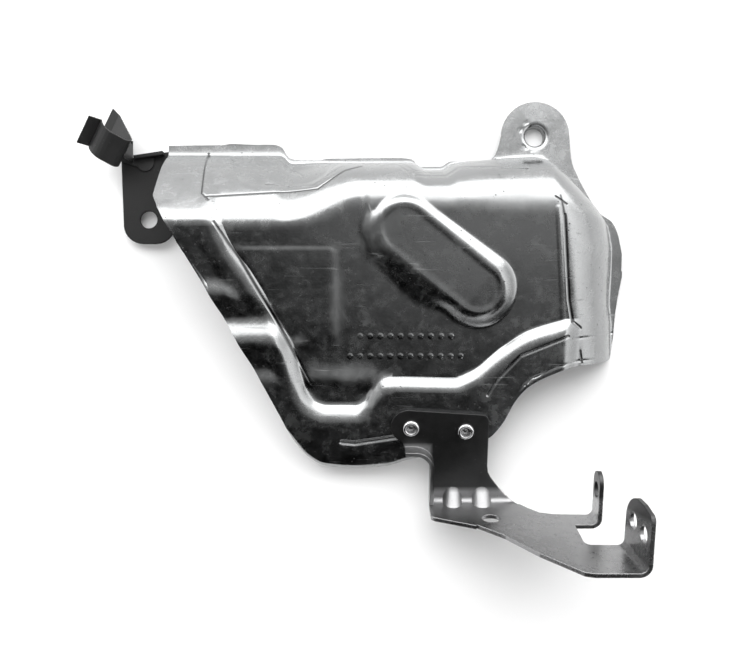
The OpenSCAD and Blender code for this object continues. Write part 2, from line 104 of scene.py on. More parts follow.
def mathsNode(tree, operation, values, clamp=False):
    node = tree.nodes.new("ShaderNodeMath")
    node.operation, node.use_clamp = operation, clamp
    for slot, value in zip(node.inputs, values):
        join(tree, value, slot)
    return Wire(tree, node.outputs[0])


def join(tree, value, slot):
    if isinstance(value, Wire):
        tree.links.new(value.socket, slot)
    else:
        slot.default_value = value


# A finish is one material; its flat place is in millimetres from the middle of the photograph.
class Finish:
    def __init__(self, name, fixed):
        self.material = bpy.data.materials.new(name)
        self.material.use_nodes = True
        self.tree = self.material.node_tree
        self.shader = self.tree.nodes["Principled BSDF"]
        for key, value in fixed.items():
            self.shader.inputs[key].default_value = value
        self.place = self.node("TexCoord", {}, {}, "Object")
        self.flat = self.vector("MULTIPLY_ADD", self.place, (1 / mm, 1 / mm, 0.0), (lugAt[0], lugAt[1], 0.0))

    def node(self, kind, settings, values, out=0):
        node = self.tree.nodes.new("ShaderNode" + kind)
        for key, value in settings.items():
            setattr(node, key, value)
        for key, value in values.items():
            join(self.tree, value, node.inputs[key])
        return Wire(self.tree, node.outputs[out])

    def noise(self, scale, detail=3.0, rough=0.55, place=None, distortion=0.0):
        return self.node("TexNoise", {}, {"Vector": place or self.place, "Scale": scale, "Detail": detail,
                                          "Roughness": rough, "Distortion": distortion})

    def cells(self, scale):
        return self.node("TexVoronoi", {}, {"Vector": self.place, "Scale": scale}, "Distance")

    def stretched(self, turn, sizes):
        return self.node("Mapping", {}, {"Vector": self.place, "Rotation": turn, "Scale": sizes})

    def vector(self, operation, *values, out="Vector"):
        return self.node("VectorMath", {"operation": operation}, dict(enumerate(values)), out)

    def along(self, axis):
        return self.node("SeparateXYZ", {}, {0: self.flat}, axis)

    def stroke(self, points, wide, after):
        # A trace of the wire made before it, far too small to see, has the strokes worked out one by one.
        trace = 0.001
        place = self.vector("ADD", self.flat, self.node("CombineXYZ", {}, {2: after * trace}))
        nearest = None
        for start, end in zip(points, points[1:]):
            way = (end[0] - start[0], end[1] - start[1], 0.0)
            fromStart = self.vector("SUBTRACT", place, (start[0], start[1], 0.0))
            share = self.vector("DOT_PRODUCT", fromStart, way, out="Value") / (way[0] ** 2 + way[1] ** 2)
            step = self.node("VectorMath", {"operation": "SCALE"}, {0: way, "Scale": share.held()}, "Vector")
            away = self.vector("DISTANCE", fromStart, step, out="Value")
            nearest = away if nearest is None else nearest.least(away)
        return self.soft(1.0 - nearest / wide)

    def soft(self, share):
        held = share.held()
        return held * held * (3.0 - 2.0 * held)

    def patch(self, middle, reach):
        away = self.vector("MULTIPLY", self.vector("SUBTRACT", self.flat, (middle[0], middle[1], 0.0)),
                           (1 / reach[0], 1 / reach[1], 0.0))
        return self.soft(1.1 - self.vector("LENGTH", away, out="Value"))

    def pips(self, start, count, pitch, wide):
        x, y = self.along("X"), self.along("Y")
        across = (x - start[0]) / pitch
        sideways = (across.maths("FRACT") - 0.5).maths("ABSOLUTE") * pitch
        upwards = y - start[1]
        away = (sideways * sideways + upwards * upwards) ** 0.5
        ends = 0.01
        return self.soft(1.5 - away / wide) * across.above(0.0, ends) * (1.0 - across.above(count, ends))

    def bump(self, height, strength, distance, below=None):
        values = {"Height": height, "Strength": strength, "Distance": distance}
        if below is not None:
            values["Normal"] = below
        return self.node("Bump", {}, values)

    def feed(self, **inputs):
        names = {"colour": "Base Color", "roughness": "Roughness", "metallic": "Metallic", "normal": "Normal"}
        for key, value in inputs.items():
            join(self.tree, value, self.shader.inputs[names[key]])
        return self.material


# Sheet's finish: fine folds, worn patches and pips, in millimetres from the middle of the photograph.
folds = {  # points, half width and depth; a negative depth stands proud
    "brim": ([(-64.7, 50.3), (-21.4, 53.2), (-11.1, 60.9), (-4.5, 63.1)], 0.8, 0.22),
    "field": ([(-42.4, 56.4), (-23.0, 54.8), (-11.4, 64.2)], 0.9, 0.2),
    "fieldSide": ([(-68.6, 71.7), (-66.5, 51.7), (-63.5, 49.1)], 0.9, 0.35),
    "corner": ([(-37.9, 68.7), (-28.3, 60.2)], 0.8, 0.2),
    "leftRidge": ([(-60.5, 39.8), (-51.4, 25.8), (-34.6, -4.0), (-25.1, -22.5)], 0.9, 0.25),
    "flangeBead": ([(-12.8, -46.7), (-7.7, -47.2), (11.6, -44.2)], 1.5, 0.65),
    "bandBead": ([(45.7, -27.2), (49.1, -21.1), (58.0, -11.4), (76.3, -3.9)], 1.0, 0.35),
    "rightGroove": ([(72.6, 42.5), (76.3, 10.6), (78.3, 2.0), (81.6, -0.4)], 1.0, 0.3),
    "brimTop": ([(-4, 67.0), (9.5, 67.2), (15.5, 60.6), (27.0, 60.6), (32.0, 65.2), (46.0, 66.2)], 0.8, 0.2),
    "brimLow": ([(-4, 64.6), (9.0, 64.2), (15.0, 58.2), (28.0, 58.4), (34.0, 62.6), (60.0, 62.0)], 1.0, 0.22),
    "rightRib": ([(70.0, 45.1), (74.6, 2.8)], 1.6, -0.2),
    "sideFold": ([(69.0, 49.5), (73.5, 46.7)], 0.6, 0.25),
    "slit": ([(82.3, -9.2), (83.5, -14.4)], 0.6, 0.4),
    "lowFold": ([(78.7, -4.7), (100.6, -2.5)], 0.8, 0.2),
}
dusty = [  # middle, reach and added roughness of the duller patches
    ((-14.3, 10.5), (4.4, 23.0), 0.22), ((-31.1, -5.5), (7.0, 3.0), 0.25), ((-8.0, -19.0), (22.0, 4.6), 0.24),
    ((2.0, 38.0), (12.0, 18.0), 0.12), ((25.2, 47.0), (9.0, 7.0), 0.2), ((54.0, 48.0), (24.0, 9.0), 0.16),
]
polished = [((-22.6, 20.1), (8.0, 11.0), 0.1), ((-38.0, 33.0), (26.0, 5.0), 0.1)]
pip = {"rows": [((-7.3, -3.6), 10), ((-11.3, -11.6), 12)], "pitch": 4.0, "high": 0.22, "wide": 0.95}
creaseShade = {  # painted shade: dark lines painted into the colour that lie in the folds, and beside two of them, where shade falls in the creases
    "groove": [(71.0, 50.0), (72.6, 42.5), (76.3, 10.6), (78.3, 2.0)], "grooveWide": 0.8,
    "inFold": ("leftRidge", "fieldSide", "slit", "sideFold", "brim"), "foldWide": 0.55,
    "besideFold": ("flangeBead", "bandBead"), "besideWide": 0.6, "beside": (-0.2, 0.7), "dark": 0.8,
}
grainBump, sheetSpecular, edgeSamples = 0.00012, 0.5, 6


def steelSheet():
    look = Finish("pressedSteelSheet", {"Metallic": 1.0, "Specular IOR Level": sheetSpecular})
    cloud = look.noise(28.0, 4.0, 0.6)
    smudge = look.noise(130.0, 5.0, 0.65, distortion=0.6)
    grain = look.noise(900.0, 3.0, 0.7)
    flow = look.noise(260.0, 4.0, 0.65, look.stretched((0.0, 0.0, 0.35), (0.25, 3.0, 1.0)), 0.4)
    speck = 1.0 - look.cells(340.0).above(0.1, 0.035)
    specks = speck * look.noise(75.0, 2.0, 0.5).above(0.52, 0.05)
    pits = (1.0 - look.cells(760.0).above(0.12, 0.04)) * look.noise(55.0, 3.0).above(0.55, 0.06)
    scratch = look.noise(420.0, 2.0, 0.5, look.stretched((0.0, 0.0, 0.7), (0.1, 1.6, 1.0))).above(0.69, 0.02)
    worn = scratch * look.noise(40.0, 2.0).above(0.5, 0.08)
    tone = 0.17 + 0.1 * cloud + 0.08 * smudge + 0.04 * grain
    dull = tone * (1.0 - 0.6 * specks) * (1.0 - 0.45 * pits)
    dust = look.noise(240.0, 5.0, 0.7).above(0.56, 0.16) * smudge.above(0.5, 0.16)
    rough = 0.06 + 0.1 * cloud + 0.18 * smudge + 0.06 * grain + 0.25 * specks + 0.2 * worn + 0.1 * dust
    for middle, reach, amount in dusty:
        rough = rough + amount * look.patch(middle, reach)
    for middle, reach, amount in polished:
        rough = rough - amount * look.patch(middle, reach)
    upper, lower = (pip["high"] * look.pips(*row, pip["pitch"], pip["wide"]) for row in pip["rows"])
    depth = upper + lower
    for points, wide, deep in folds.values():
        depth = depth - deep * look.stroke(points, wide, depth)
    dark = look.stroke(creaseShade["groove"], creaseShade["grooveWide"], dust)
    for name in creaseShade["inFold"]:
        dark = dark.most(look.stroke(folds[name][0], creaseShade["foldWide"], dark))
    for name in creaseShade["besideFold"]:
        line = [(x + creaseShade["beside"][0], y + creaseShade["beside"][1]) for x, y in folds[name][0]]
        dark = dark.most(look.stroke(line, creaseShade["besideWide"], dark))
    # Painted shade: the colour is darkened along the creases and beside the beads.
    dull = dull * (1.0 - creaseShade["dark"] * dark)
    colour = look.node("CombineColor", {}, {0: dull * 0.985, 1: dull, 2: dull * 1.005})
    pressed = look.bump(depth, 1.0, mm)
    height = 0.5 * grain + 0.35 * flow + 0.3 * smudge - 0.8 * specks - 0.4 * pits - 0.4 * worn
    return look.feed(colour=colour, roughness=rough.most(0.05), metallic=1.0 - 0.1 * dust - 0.12 * specks,
                     normal=look.bump(height, 0.2, grainBump, pressed))


# Rounded edges are radii in metres.
def darkSheet(name, tone, metallic, rough, uneven, wear, edge, gloss):
    look = Finish(name, {"Specular IOR Level": gloss, "Metallic": metallic})
    cloud = look.noise(60.0, 4.0, 0.6)
    grain = look.noise(1100.0, 3.0, 0.7)
    speck = look.cells(700.0)
    speckMask = (1.0 - speck.above(0.1, 0.04)) * look.noise(90.0, 2.0).above(0.58, 0.05)
    rounded = look.node("Bevel", {"samples": edgeSamples}, {"Radius": edge})
    shade = tone * (0.75 + 0.5 * cloud) + wear * 0.6 * speckMask + 0.03 * wear * grain
    colour = look.node("CombineColor", {}, {0: shade, 1: shade, 2: shade * 1.01})
    return look.feed(colour=colour, roughness=rough + uneven * (cloud + 0.5 * grain - 0.25),
                     normal=look.bump(grain + 0.5 * cloud - 0.6 * speckMask, 0.22, grainBump, rounded))


zones = {  # edges of the bracket's plate, side flange, bend and arm
    "plateFoot": -66.6, "sideFlange": 23.4, "flangeTop": -47.5, "bendFoot": -74.5, "bendTop": -64.5,
    "flangePale": -47.0, "armPlain": 58.0,
}


def bracketSheet():
    # Smooth on the plate, with a painted dark reflection: the same metal's colour is cut down there; pale and
    # matt in the bend and on the side flange, grey along the arm.
    look = Finish("bracketSheet", {"Specular IOR Level": sheetSpecular})
    x, y = look.along("X"), look.along("Y")
    cloud = look.noise(60.0, 4.0, 0.6)
    smudge = look.noise(210.0, 5.0, 0.7, distortion=0.5)
    grain = look.noise(1100.0, 3.0, 0.7)
    speck = (1.0 - look.cells(520.0).above(0.1, 0.04)) * look.noise(90.0, 2.0).above(0.52, 0.06)
    beside = x.above(zones["sideFlange"], 0.8).most(y.above(zones["flangeTop"], 0.8))
    plate = y.above(zones["plateFoot"], 1.2) * beside
    bend = y.above(zones["bendFoot"], 2.5) * (1.0 - y.above(zones["bendTop"], 1.0))
    flange = (1.0 - x.above(zones["sideFlange"], 0.8)) * (1.0 - y.above(zones["flangePale"], 0.8))
    bent = (bend + flange).held() * (1.0 - x.above(zones["armPlain"], 6.0))
    tone = 0.15 + 0.1 * cloud + 0.1 * smudge + 0.05 * grain
    # Painted dark reflection: the plate's colour is cut to a fifth, with pale specks added on it.
    shade = tone * (1.0 - 0.8 * plate) * (1.0 - 0.4 * speck) + 0.06 * speck * plate
    colour = look.node("CombineColor", {}, {0: shade, 1: shade, 2: shade * 1.01})
    rough = 0.1 + 0.12 * cloud + 0.16 * smudge + 0.06 * grain + 0.18 * bent + 0.1 * plate
    rounded = look.node("Bevel", {"samples": edgeSamples}, {"Radius": 0.0005})
    height = 0.6 * grain + 0.8 * smudge + 0.5 * cloud - 0.8 * speck
    return look.feed(colour=colour, roughness=rough, metallic=1.0 - 0.1 * speck - 0.06 * smudge,
                     normal=look.bump(height, 0.25, 0.00015, rounded))


sheetFinish = steelSheet()
bracketFinish = bracketSheet()
blackFinish = darkSheet("blackSheet", 0.007, 0.0, 0.4, 0.16, 0.1, 0.0006, 0.22)
springFinish = darkSheet("springSteel", 0.014, 0.0, 0.42, 0.16, 0.12, 0.0003, 0.25)
headFinish = darkSheet("rivetHead", 0.5, 1.0, 0.16, 0.1, 0.2, 0.0002, 0.5)
print("finishes made")


# Pressed shield: lines close to its solid's, in millimetres from the middle of the photograph.
shield = {
    "thick": 0.8, "faceHigh": 24.8, "faceTilt": 17.0, "foot": 0.5, "brim": 4.9, "cornerRound": 1.3,
    "wallBow": 0.96, "wallFoot": 1.4, "ridgeHigh": 4.0, "ridgeWide": (7.6, 6.2),
    "lipDrop": 8.8, "lipWide": 2.2, "rollDrop": 1.6, "rollWide": 14.0, "lipEnds": (-36, 24),
    "panelHigh": 0.32, "panelCorner": (-13.5, 31.4), "panelRound": 4, "panelFoot": -9,
    "fieldDeep": 1.8, "fieldLeft": -62, "apronHigh": 0.85, "apronEnds": (-30, 3), "apronRows": (-13.5, -21.8),
    "oblongHigh": (2.4, 3.9), "oblongLong": 37.0, "oblongRound": 8.8, "oblongDip": 0.25, "oblongTurn": -38.0,
    "oblongAt": (11.6, 37.6), "oblongSlope": (4.5, 6.5),
    "ends": (-85.3, 103.85), "rowCounts": (16, 24, 22, 12, 18, 12, 18, 30, 22), "smoothUpTo": 60,
    "lugRound": 14.2, "lugCut": 6.3, "lugMouth": 6.4, "lugReach": 9,
    "lugCollar": [(5.9, 4.9), (5.3, 4.8), (4.9, 4.55), (4.6, 4.1), (4.45, 3.5), (4.4, 2.6), (4.4, 0.0)],
}
lowEdge = [(-85.3, 51), (-57.6, 1.8), (-44, -23.1), (-35.8, -39.3), (-30.8, -48.5), (-26.2, -54.2),
           (-20, -57.6), (-8, -58.6), (4.8, -57.7), (15.3, -54.6), (28, -50.5), (46.5, -45),
           (51.7, -39.3), (57, -29.2), (61.5, -24), (67.7, -20.2), (79.3, -15.9), (98.8, -13.5),
           (100.2, -9), (101.4, 6), (104, 22)]
topEdge = [(-85.3, 75.5), (-42, 76), (-38.4, 75), (-35.2, 70.4), (-32, 69.6), (-22.8, 69.4), (-19.5, 70.1),
           (11.1, 70.4), (15.7, 69.9), (19.5, 66.8), (27.8, 66.8), (32.4, 69), (48.5, 69), (50.6, 71.5),
           (52, 75), (53.2, 79.6)]
sideEdge = [(81.6, 79.6), (82.4, 69.5), (84.5, 64), (87.4, 58), (91.1, 51.7), (94.9, 46.8), (99.2, 44),
            (101.9, 39.1), (104, 30)]
crestLine = [(-85.3, 38), (-30, 38.5), (-17, 40), (-5, 44.5), (25, 44.5), (40, 43), (66, 41.5), (80, 42)]
footLine = [(-85.3, 71), (-39, 71), (-34, 67.5), (-20, 67.8), (15, 68), (21, 65), (28, 65), (33, 67.5),
            (48, 69.3), (67, 70), (84, 66)]
panelLine = [(-68, 84), (-60.8, 42), (-56.3, 30.2), (-48.1, 17.8), (-40.1, 2.7), (-34, -13), (-30.4, -24.5),
             (-27.5, -30.6), (-24, -33.8), (-19, -35.4), (-7.2, -35.4), (-2.6, -33.2), (0.6, -28.4),
             (4.4, -24.2), (9.4, -23), (32.2, -23.4), (40.1, -20.6), (52.8, -10.5), (62, -4.5), (76, 0)]
rimLine = [(-60, 4), (-28, 4), (-22.5, 4.1), (-16, 2.6), (-5.8, 5.3), (-4.8, 5.0), (2.6, 1.2), (3.6, 0.9),
           (12.5, 3.5), (13.5, 3.3), (18, 1.7), (19, 1.5), (40, 2.4)]
rimInner = [(-60, 4), (-28, 4), (-21, 4), (-14, 4.2), (-5.8, 5.3), (-4.8, 5.0), (2.6, 1.2), (3.6, 0.9),
            (13, 2.2), (40, 2.4)]
fieldLine = [(-62, 76), (-57, 63), (-52, 56), (-45, 53.5), (-28, 53.5), (-21, 56), (-14, 66), (-10, 80)]
sideCrest = [(-20, 77), (0, 75.8), (45, 69.5)]
sideFoot = [(-20, 99), (0, 99), (10, 98), (30, 98.5), (45, 96)]


# A smooth line through points that never swings past them.
def smoothLine(points, x):
    px, py = np.array(points, float).T
    slope = np.diff(py) / np.diff(px)
    product = slope[:-1] * slope[1:]
    inner = np.where(product <= 0, 0.0, 2 * product / np.where(product <= 0, 1.0, slope[:-1] + slope[1:]))
    tangent = np.concatenate([slope[:1], inner, slope[-1:]])
    i = np.clip(np.searchsorted(px, x, side="right") - 1, 0, len(px) - 2)
    h = px[i + 1] - px[i]
    t = np.clip((x - px[i]) / h, 0, 1)
    return ((1 + 2 * t) * (1 - t) ** 2 * py[i] + t * (1 - t) ** 2 * h * tangent[i]
            + t * t * (3 - 2 * t) * py[i + 1] + t * t * (t - 1) * h * tangent[i + 1])


def ease(v):
    c = np.clip(v, 0, 1)
    return c * c * (3 - 2 * c)


def rise(v, start, reach):  # from 0 at the start to 1
    return ease((v - start) / reach)


def drop(v, end, reach):  # from 1 to 0 at the end
    return ease((end - v) / reach)


def mix(a, b, f):
    return a + (b - a) * f


# How far down the walls: 0 on the face, 1 at their foot.
def wallShare(x, y):
    power = shield["cornerRound"]
    crest, foot = smoothLine(crestLine, x), smoothLine(footLine, x)
    up = np.maximum((y - crest) / (foot - crest), 0)
    out = np.maximum((x - smoothLine(sideCrest, y)) / (smoothLine(sideFoot, y) - smoothLine(sideCrest, y)), 0)
    return (up ** power + out ** power) ** (1 / power)


# Round of the walls: easy on the left, tight on the right.
def wallFall(q, right):
    bow = shield["wallBow"]
    most = 1 - math.sqrt(1 - bow ** 2)
    tight = (1 - np.sqrt(1 - (bow * np.minimum(q, 1)) ** 2)) / most + np.maximum(q - 1, 0) * 3
    return mix(q ** 1.5, tight, right)


def ridgeWide(x):
    narrow, wide = 2.6 * drop(x, -30, 10), 1.2 * rise(x, -8, 5) * drop(x, 9, 5)
    return mix(*shield["ridgeWide"], rise(x, -12, 14)) - narrow + wide


# How far across the ridge: 0 on the panel's side, 1 on the rim's.
def belowPanel(x, y):
    line = smoothLine(panelLine, x)
    lean = smoothLine(panelLine, x + 0.5) - smoothLine(panelLine, x - 0.5)
    t = np.clip(0.5 + (line - y) / np.sqrt(1 + lean * lean) / ridgeWide(x), 0, 1)
    return t * (1.6 - 0.2 * t - 0.4 * t * t)


# Raised oblong, whose lower left flank is the widest.
def oblongZ(x, y):
    s = shield
    turn = math.radians(s["oblongTurn"])
    way = (math.cos(turn), math.sin(turn))
    dx, dy = x - s["oblongAt"][0], y - s["oblongAt"][1]
    along = np.clip(dx * way[0] + dy * way[1], 0, s["oblongLong"])
    away = np.hypot(dx - along * way[0], dy - along * way[1])
    across = way[0] * dy - way[1] * dx
    share = along / s["oblongLong"]
    lowLeft = ease(-across / 7) * (1 - rise(share, 0.5, 0.4))
    slope = mix(*s["oblongSlope"], share) * (1 + 0.9 * lowLeft)
    past = away - s["oblongRound"]
    high = mix(*s["oblongHigh"], share)
    return (high * (1 - ease(np.clip(past / slope, 0, 1) ** 1.15))
            - s["oblongDip"] * (1 - ease((past + 1.4) / 1.2)))


# Share of the way down: an open round at the tunnel's left mouth, a tight one at the right.
def tunnelFall(x, q):
    mouth = np.where(q < 0.2, 2.5 * q * q, q - 0.1) + 1.6 * np.maximum(q - 0.75, 0) ** 2
    return mix(wallFall(q, rise(x, -36, 26)), mouth, drop(x, -58, 10))


# Panel left of the oblong that stands a little proud, with one rounded corner.
def panelZ(x, y):
    s = shield
    corner, reach = s["panelCorner"], s["panelRound"]
    inX, inY = np.maximum(reach - (corner[0] - x), 0), np.maximum(reach - (corner[1] - y), 0)
    inside = ease((reach - np.hypot(inX, inY)) / 2)
    return s["panelHigh"] * inside * rise(y, s["panelFoot"], 6) * ease((y - smoothLine(panelLine, x) - 1) / 8)


# Waved rim on the left, which runs over into the ridge.
def stepZ(x, y, inward):
    rim = mix(smoothLine(rimLine, y), smoothLine(rimInner, y), rise(inward, 12, 9))
    return mix(rim, shield["ridgeHigh"], rise(x, -34, 14)) * (1 - rise(x, 74, 8))


# Lip that turns down along the flange's low edge.
def lipZ(x, inward):
    s = shield
    turn = np.sqrt(1 - 0.99 * np.clip(1 - inward / s["lipWide"], 0, 1) ** 2) - 1
    roll = np.clip(1 - inward / s["rollWide"], 0, 1) ** 2
    start, end = s["lipEnds"]
    return (s["lipDrop"] * turn - s["rollDrop"] * roll) * rise(x, start, 10) * drop(x, end, 12)


# Slightly raised band above the ridge.
def apronZ(x, y):
    s = shield
    (left, right), (top, low) = s["apronEnds"], s["apronRows"]
    return s["apronHigh"] * drop(y, top, 8) * (1 - drop(y, low, 2.6)) * rise(x, left, 5) * drop(x, right, 5)


def sheetZ(x, y):
    s = shield
    q = wallShare(x, y)
    fall = tunnelFall(x, q)
    on = 1 - np.clip(fall, 0, 1)
    foot = mix(s["foot"], s["brim"], rise(y, -14, 70))
    inward = y - smoothLine(lowEdge, x)
    top = (s["faceHigh"] + math.tan(math.radians(s["faceTilt"])) * y + panelZ(x, y) * on
           + stepZ(x, y, inward) * belowPanel(x, y) * (0.5 + on / 2))
    slanted = mix(top, foot, fall)
    rounded = (slanted + foot + np.sqrt((slanted - foot) ** 2 + s["wallFoot"] ** 2)) / 2
    wall = np.where(q == 0, top, rounded)
    field = -s["fieldDeep"] * ease((y - smoothLine(fieldLine, x)) / 3) * rise(x, s["fieldLeft"], 3)
    return wall + oblongZ(x, y) + field * (1 - rise(q, 0.85, 0.15)) + lipZ(x, inward) + apronZ(x, y)


# Far edge of the sheet: round the lug, along the tunnel's foot and down the side wall.
def highY(x):
    dx = x - lugAt[0]
    onLug = lugAt[1] + np.sqrt(np.maximum(shield["lugRound"] ** 2 - dx * dx, 0))
    return np.where(np.abs(dx) <= shield["lugRound"], onLug,
                    np.where(dx < 0, smoothLine(topEdge, x), smoothLine(sideEdge, x)))


def oblongEdge(x, r, side):
    s = shield
    turn = math.radians(s["oblongTurn"])
    c, n = math.cos(turn), math.sin(turn)
    t = np.clip((x - s["oblongAt"][0] + side * r * n) / c, 0, s["oblongLong"])
    across = x - s["oblongAt"][0] - t * c
    return s["oblongAt"][1] + t * n + side * np.sqrt(np.maximum(r * r - across * across, 0))


# The grid is finer where the sheet bends: each stretch of columns has its own count.
def stretch(start, end, count):
    return np.linspace(start, end, count, endpoint=False)


def gridColumns():
    r = shield["lugRound"]
    start, end = shield["ends"]
    return np.concatenate([
        stretch(start, -68, 18), stretch(-68, -22, 58), stretch(-22, -4, 22), stretch(-4, 50, 68),
        stretch(50, lugAt[0] - r, 6), lugAt[0] - r * np.cos(stretch(0.0, math.pi, 38)),
        stretch(lugAt[0] + r, 90, 14), np.linspace(90, end, 18)])


# Rows follow the sheet's forms, and keep apart where forms meet.
def gridRows(x, counts):
    s = shield
    crest, foot = smoothLine(crestLine, x) - 2, smoothLine(footLine, x)
    line = np.minimum(smoothLine(panelLine, np.clip(x, -62, 76)), crest - 3)
    wide = s["oblongRound"] + mix(*s["oblongSlope"], np.clip((x - s["oblongAt"][0]) / 29, 0, 1))
    half = ridgeWide(x) / 2
    stops = [smoothLine(lowEdge, x), line - half, line + half,
             oblongEdge(x, wide, -1), oblongEdge(x, s["oblongRound"], -1),
             oblongEdge(x, s["oblongRound"], 1), oblongEdge(x, wide, 1),
             mix(crest, foot, 0.62), foot, highY(x)]
    panelRows = (8.0, 28.4, 32.4, 35.5)
    stops[3:7] = [mix(stop, goal, drop(x, -2, 8)) for stop, goal in zip(stops[3:7], panelRows)]
    last = len(counts)
    part = 0.03 * (stops[last] - stops[0])
    kept = [stops[0]]
    for i in range(1, last + 1):
        goal = stops[i] if i == last else np.minimum(stops[i], stops[last] - part * (last - i))
        kept.append(np.maximum(goal, kept[-1] + part))
    rows = [mix(kept[i], kept[i + 1], j / counts[i]) for i in range(last) for j in range(counts[i])]
    lipShares = (0, 0.06, 0.16, 0.3, 0.48, 0.72)
    rows[0:1] = [kept[0] + s["lipWide"] * share for share in lipShares]
    rows[len(lipShares)] = np.maximum(rows[len(lipShares)], kept[0] + s["lipWide"])
    return np.array(rows + [kept[last]])


def pressedShield():
    columns = gridColumns()
    rows = gridRows(columns, shield["rowCounts"])
    countX, countY = rows.shape[1], rows.shape[0]
    bpy.ops.object.select_all(action="DESELECT")
    bpy.ops.mesh.primitive_grid_add(x_subdivisions=countX - 1, y_subdivisions=countY - 1, size=1)
    sheet = bpy.context.object
    sheet.name = "pressedShield"
    mesh = sheet.data
    place = np.empty(len(mesh.vertices) * 3)
    mesh.vertices.foreach_get("co", place)
    place = place.reshape(-1, 3)
    i = np.rint((place[:, 0] + 0.5) * (countX - 1)).astype(int)
    j = np.rint((place[:, 1] + 0.5) * (countY - 1)).astype(int)
    x, y = columns[i], rows[j, i]
    z = sheetZ(x, y)
    place = np.stack([x - lugAt[0], y - lugAt[1], z], axis=1) * mm
    mesh.vertices.foreach_set("co", place.ravel())
    mesh.update()
    cutLugHole(sheet)
    wall = sheet.modifiers.new("wall", "SOLIDIFY")
    wall.thickness, wall.offset = shield["thick"] * mm, 0.0
    bpy.ops.object.modifier_apply(modifier="wall")
    bpy.ops.object.shade_smooth_by_angle(angle=math.radians(shield["smoothUpTo"]))
    sheet.data.materials.append(sheetFinish)
    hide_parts("heat_shield")
    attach(sheet, "root")
    print("shield pressed:", len(sheet.data.polygons), "faces")


# The lug's hole has a rounded mouth and a collar.
def cutLugHole(sheet):
    s = shield
    mesh = bmesh.new()
    mesh.from_mesh(sheet.data)
    inside = [f for f in mesh.faces if all(v.co.xy.length < s["lugCut"] * mm for v in f.verts)]
    bmesh.ops.delete(mesh, geom=inside, context="FACES")
    rim = [e for e in mesh.edges if e.is_boundary and e.verts[0].co.xy.length < s["lugReach"] * mm]
    for v in {v for e in rim for v in e.verts}:
        v.co.xy = v.co.xy.normalized() * s["lugMouth"] * mm
    for r, z in s["lugCollar"]:
        made = bmesh.ops.extrude_edge_only(mesh, edges=rim)["geom"]
        rim = [g for g in made if isinstance(g, bmesh.types.BMEdge)]
        for v in [g for g in made if isinstance(g, bmesh.types.BMVert)]:
            v.co.xy = v.co.xy.normalized() * r * mm
            v.co.z = z * mm
    bmesh.ops.recalc_face_normals(mesh, faces=mesh.faces)
    mesh.to_mesh(sheet.data)
    mesh.free()


pressedShield()


# Rivets, turned about the flange's upright: a round head with a funnel and a button in it, shank and tail.
rivet = {
    "tilt": math.radians(shield["faceTilt"]), "sides": 64, "headHigh": 1.6, "topBand": 0.4,
    "profile": [(0.5, -0.2), (1.0, -0.35), (1.3, -0.75), (1.55, -0.8), (1.75, -0.5), (1.88, 0.7),
                (2.05, 1.36), (2.4, 1.55), (2.75, 1.5), (3.1, 1.25), (3.33, 0.85), (3.42, 0.4), (3.42, 0.0),
                (2.4, -0.02), (2.4, -2.3), (3.1, -2.35), (3.15, -2.7), (2.9, -3.1), (1.6, -3.15)],
}


def turned(name, profile, sides):
    bpy.ops.object.select_all(action="DESELECT")
    bpy.ops.mesh.primitive_circle_add(vertices=sides, radius=profile[0][0] * mm, fill_type="TRIFAN",
                                      location=(0, 0, profile[0][1] * mm))
    piece = bpy.context.object
    piece.name = piece.data.name = name
    bpy.ops.object.transform_apply(location=True, rotation=False, scale=False)
    bpy.ops.object.mode_set(mode="EDIT")
    bpy.ops.mesh.select_all(action="SELECT")
    bpy.ops.mesh.region_to_loop()
    for (r, z), (toR, toZ) in zip(profile, profile[1:]):
        bpy.ops.mesh.extrude_edges_move(TRANSFORM_OT_translate={"value": (0, 0, (toZ - z) * mm)})
        bpy.ops.transform.resize(value=(toR / r, toR / r, 1), center_override=(0, 0, 0))
    bpy.ops.mesh.edge_face_add()
    bpy.ops.mesh.select_all(action="SELECT")
    bpy.ops.mesh.normals_make_consistent(inside=False)
    bpy.ops.object.mode_set(mode="OBJECT")
    bpy.ops.object.shade_smooth_by_angle(angle=math.radians(35))
    return piece


def setRivet(node):
    spots = np.array([v.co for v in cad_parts[node].data.vertices])
    axis = np.array([0.0, -math.sin(rivet["tilt"]), math.cos(rivet["tilt"])])
    along = spots @ axis
    top = spots[along > along.max() - rivet["topBand"] * mm]
    middleTop = (top.min(axis=0) + top.max(axis=0)) / 2
    foot = middleTop + axis * (along.max() - rivet["headHigh"] * mm - middleTop @ axis)
    piece = turned(node + "Turned", rivet["profile"], rivet["sides"])
    piece.data.transform(Matrix.Translation(foot) @ Matrix.Rotation(rivet["tilt"], 4, "X"))
    piece.data.materials.append(headFinish)
    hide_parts(node)
    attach(piece, "root")


for rivetNode in ("rivet_left", "rivet_right"):
    setRivet(rivetNode)
print("rivets turned")


# Carried-over solids keep their shape and get a finish.
def dress(node, finish):
    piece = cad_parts[node]
    for slot in piece.material_slots:
        slot.material = finish


dress("lower_bracket", bracketFinish)
dress("left_bracket", blackFinish)
dress("spring_clip", springFinish)


